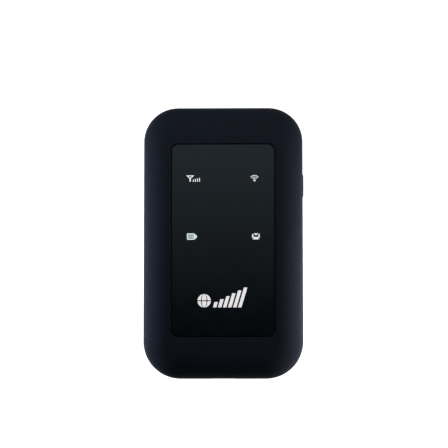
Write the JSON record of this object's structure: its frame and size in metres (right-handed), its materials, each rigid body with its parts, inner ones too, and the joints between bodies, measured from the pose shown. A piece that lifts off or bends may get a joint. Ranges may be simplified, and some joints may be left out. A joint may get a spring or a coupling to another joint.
{
  "type": "mobile hotspot",
  "caption": "Slim pocket wireless router lying on its back, with a glossy front panel of lit status icons, a side power button and a pull-off rear cover over a battery and a card socket.",
  "frame": {"origin": "centre of the flat back face, which the hotspot rests on", "axes": "+Z out of the front panel, +Y towards the end away from the charging port, +X towards the power button"},
  "size_m": [0.0573, 0.097, 0.0142],
  "materials": {
    "shell": "soft blue-black moulded plastic, low sheen",
    "panel": "glossy black with icons and an emblem printed behind the surface",
    "tape": "double-sided foam tape",
    "light_pipe": "milky clear moulding",
    "led": "small moulded light-emitting diode",
    "board": "green solder mask over glass-epoxy board",
    "shield": "tin-plated stamped steel",
    "chip": "black moulded chip package",
    "frame": "fine-textured black moulding",
    "connector": "black connector plastic",
    "steel": "nickel-plated steel",
    "gold": "gold-plated contact",
    "antenna": "copper film under a dark lacquer",
    "battery": "aluminium can in a dark matte film",
    "label": "plain white label",
    "foam": "thin black foam",
    "card": "white plastic card"
  },
  "bodies": {
    "cover": {"rear_cover": "shell", "battery_foam_pad": "foam"},
    "housing": {"front_shell": "shell", "front_panel": "panel", "panel_tape": "tape", "light_pipe_signal": "light_pipe", "light_pipe_wireless": "light_pipe", "light_pipe_battery": "light_pipe", "light_pipe_message": "light_pipe", "led_signal": "led", "led_wireless": "led", "led_battery": "led", "led_message": "led", "main_board": "board", "baseband_shield": "shield", "wireless_shield": "shield", "radio_shield": "shield", "power_switch": "shield", "reset_switch": "shield", "sim_socket": "shield", "baseband_chip": "chip", "memory_chip": "chip", "wireless_chip": "chip", "radio_transceiver": "chip", "power_amplifier": "chip", "charger_chip": "chip", "middle_frame": "frame", "usb_tongue": "connector", "battery_contact_block": "connector", "screw_1": "steel", "screw_2": "steel", "screw_3": "steel", "screw_4": "steel", "usb_shell": "steel", "main_antenna_clip": "gold", "diversity_antenna_clip": "gold", "wireless_antenna_clip": "gold", "main_antenna": "antenna", "diversity_antenna": "antenna", "wireless_antenna": "antenna", "bay_label": "label"},
    "button": {"power_button": "shell"},
    "switch_plunger": {"power_switch_plunger": "connector"},
    "reset_button": {"reset_plunger": "connector"},
    "battery": {"battery_pack": "battery", "battery_end_cap": "frame", "battery_pad_1": "gold", "battery_pad_2": "gold", "battery_pad_3": "gold"},
    "blades": {"battery_blade_1": "gold", "battery_blade_2": "gold", "battery_blade_3": "gold"},
    "card": {"sim_card": "card", "sim_contacts": "gold"}
  },
  "joints": [
    {"name": "power_button_press", "type": "slide", "parent": "housing", "child": "button", "axis": [-1, 0, 0], "range_m": [0, 0.0003], "stiffness_N_per_m": 500, "springref_m": -0.0005},
    {"name": "power_switch_press", "type": "slide", "parent": "housing", "child": "switch_plunger", "axis": [-1, 0, 0], "range_m": [0, 0.0003]},
    {"name": "reset_press", "type": "slide", "parent": "housing", "child": "reset_button", "axis": [0, 0, 1], "range_m": [0, 0.00025], "stiffness_N_per_m": 400, "springref_m": -0.0005},
    {"name": "rear_cover_release", "type": "slide", "parent": "cover", "child": "housing", "axis": [0, 0, 1], "range_m": [0, 0.03]},
    {"name": "battery_lift", "type": "slide", "parent": "housing", "child": "battery", "axis": [0, 0, -1], "range_m": [0, 0.015]},
    {"name": "battery_blade_press", "type": "slide", "parent": "housing", "child": "blades", "axis": [0, -1, 0], "range_m": [0, 0.0003], "stiffness_N_per_m": 300, "springref_m": -0.0005},
    {"name": "sim_card_slide", "type": "slide", "parent": "housing", "child": "card", "axis": [1, 0, 0], "range_m": [0, 0.013]}
  ],
  "couplings": [
    {"joint": "power_switch_press", "follows": "power_button_press", "ratio": 1},
    {"joint": "battery_lift", "follows": "rear_cover_release", "ratio": 0.5}
  ]
}
